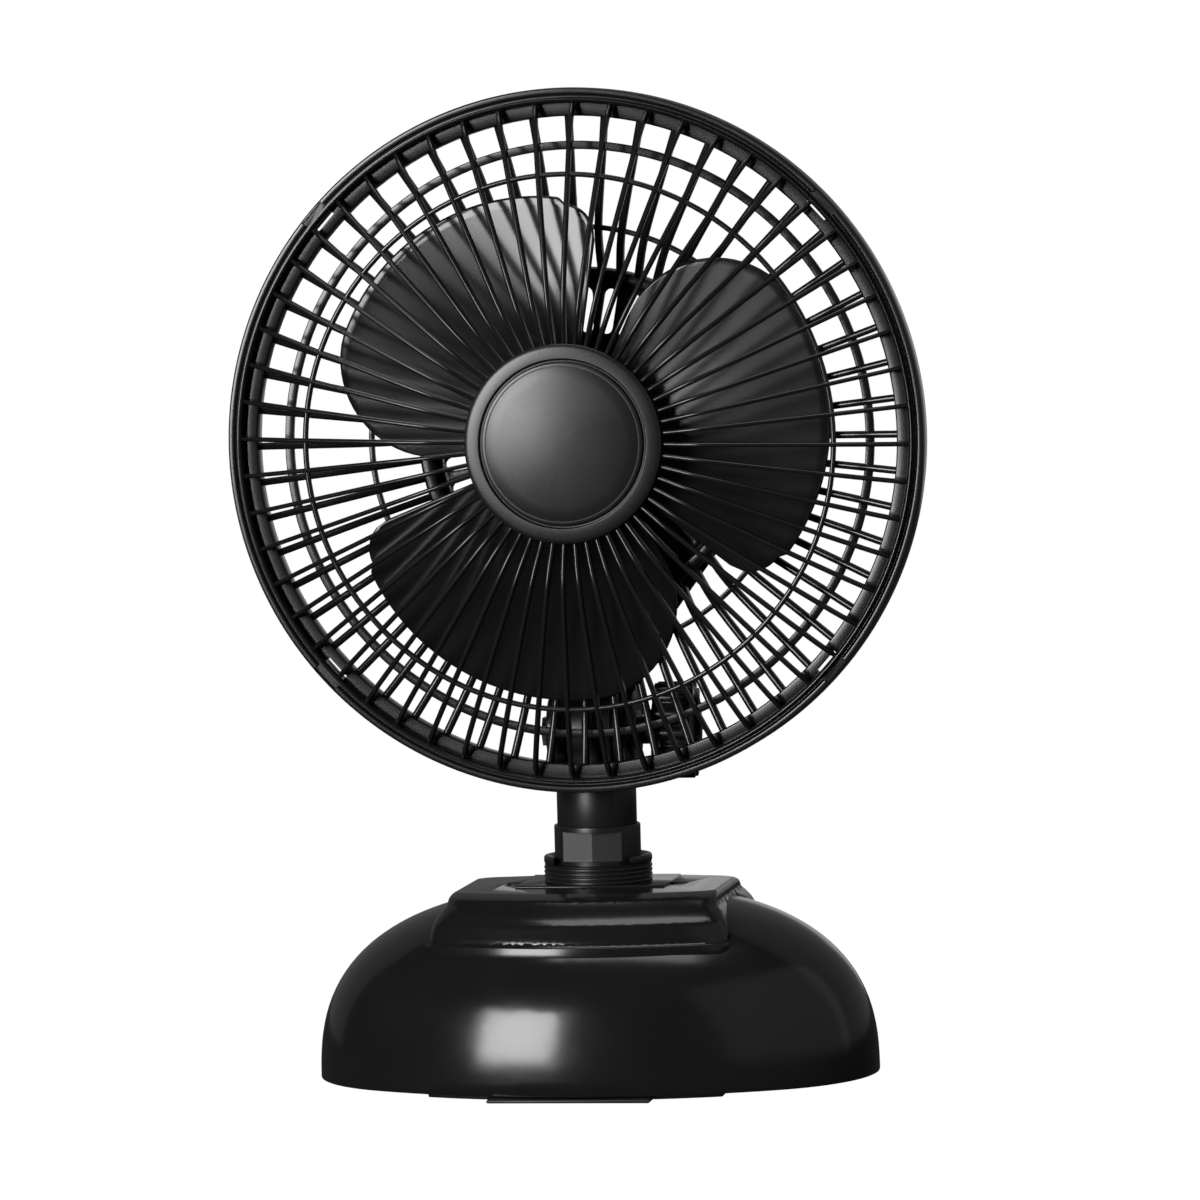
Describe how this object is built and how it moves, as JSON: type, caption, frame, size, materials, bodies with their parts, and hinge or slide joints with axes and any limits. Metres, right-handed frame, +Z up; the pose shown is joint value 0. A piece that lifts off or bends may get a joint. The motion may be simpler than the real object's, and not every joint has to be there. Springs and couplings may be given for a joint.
{
  "type": "clip fan",
  "caption": "Small clip-on desk fan: round ribbed grille, broad-bladed propeller and motor on a tilting, swivelling neck over a domed base whose hinged lower jaw clamps a shelf.",
  "frame": {"origin": "on the table under the middle of the base", "axes": "+Z up, the grille faces -Y, +X to the right seen from the front"},
  "size_m": [0.19, 0.1016, 0.27],
  "materials": {
    "grille_black": "moulded plastic, satin to gloss",
    "cap_black": "moulded plastic, polished",
    "blade_black": "moulded plastic, gloss",
    "housing_black": "moulded plastic, gloss",
    "knob_black": "moulded plastic, satin",
    "neck_black": "moulded plastic, satin",
    "base_black": "moulded plastic, high gloss",
    "jaw_black": "moulded plastic, fine texture",
    "pad_rubber": "soft rubber, matt",
    "core_steel": "stacked laminations, oiled",
    "bobbin_white": "nylon",
    "copper_wire": "enamelled copper wire",
    "zinc_steel": "zinc plated",
    "bronze": "sintered bronze",
    "bright_steel": "bright steel",
    "dark_screw": "black oxide",
    "spring_steel": "drawn spring wire"
  },
  "bodies": {
    "head": {"front_grille": "grille_black", "grille_cap": "cap_black", "rear_grille": "grille_black", "motor_housing": "housing_black", "rear_cover": "housing_black", "stator_core": "core_steel", "coil_bobbin": "bobbin_white", "coil_winding": "copper_wire", "front_strap": "zinc_steel", "rear_strap": "zinc_steel", "front_bearing": "bronze", "rear_bearing": "bronze", "motor_screws": "bright_steel", "grille_screws": "bright_steel", "cover_screws": "dark_screw", "speed_switch": "bobbin_white", "cord_grommet": "pad_rubber", "tilt_bolt": "bright_steel", "friction_washers": "zinc_steel", "bolt_washer": "zinc_steel"},
    "rotor": {"fan_blade": "blade_black", "motor_shaft": "bright_steel", "motor_rotor": "core_steel"},
    "speed_knob": {"speed_knob": "knob_black"},
    "knob": {"tilt_knob": "knob_black", "knob_nut": "bright_steel"},
    "neck": {"neck_post": "neck_black", "neck_socket": "neck_black", "swivel_washer": "zinc_steel", "swivel_screw": "bright_steel"},
    "base": {"base_shell": "base_black", "swivel_saddle": "base_black", "swivel_collar": "neck_black", "saddle_screws": "bright_steel", "base_pad": "pad_rubber", "hinge_pin": "bright_steel", "jaw_spring": "spring_steel", "rubber_feet": "pad_rubber"},
    "jaw": {"lower_jaw": "jaw_black", "jaw_pad": "pad_rubber"}
  },
  "joints": [
    {"name": "jaw_hinge", "type": "hinge", "parent": "base", "child": "jaw", "pos_m": [0, 0.03, 0.015], "axis": [1, 0, 0], "range_deg": [0, 25], "stiffness_Nm_per_rad": 0.5, "springref_deg": -22.92, "deforming": ["jaw_spring"]},
    {"name": "neck_swivel", "type": "hinge", "parent": "base", "child": "neck", "pos_m": [0, 0.006, 0.05], "axis": [0, 0, 1], "range_deg": [-90, 90]},
    {"name": "head_tilt", "type": "hinge", "parent": "neck", "child": "head", "pos_m": [0, 0.006, 0.095], "axis": [1, 0, 0], "range_deg": [-60, 5]},
    {"name": "blade_spin", "type": "hinge", "parent": "head", "child": "rotor", "pos_m": [0, -0.014, 0.175], "axis": [0, -1, 0], "continuous": true},
    {"name": "tilt_knob_turn", "type": "hinge", "parent": "head", "child": "knob", "pos_m": [0.02, 0.006, 0.095], "axis": [1, 0, 0], "range_deg": [0, 360]},
    {"name": "speed_turn", "type": "hinge", "parent": "head", "child": "speed_knob", "pos_m": [0.0156, 0.042, 0.155], "axis": [0, 1, 0], "range_deg": [0, 120]}
  ]
}
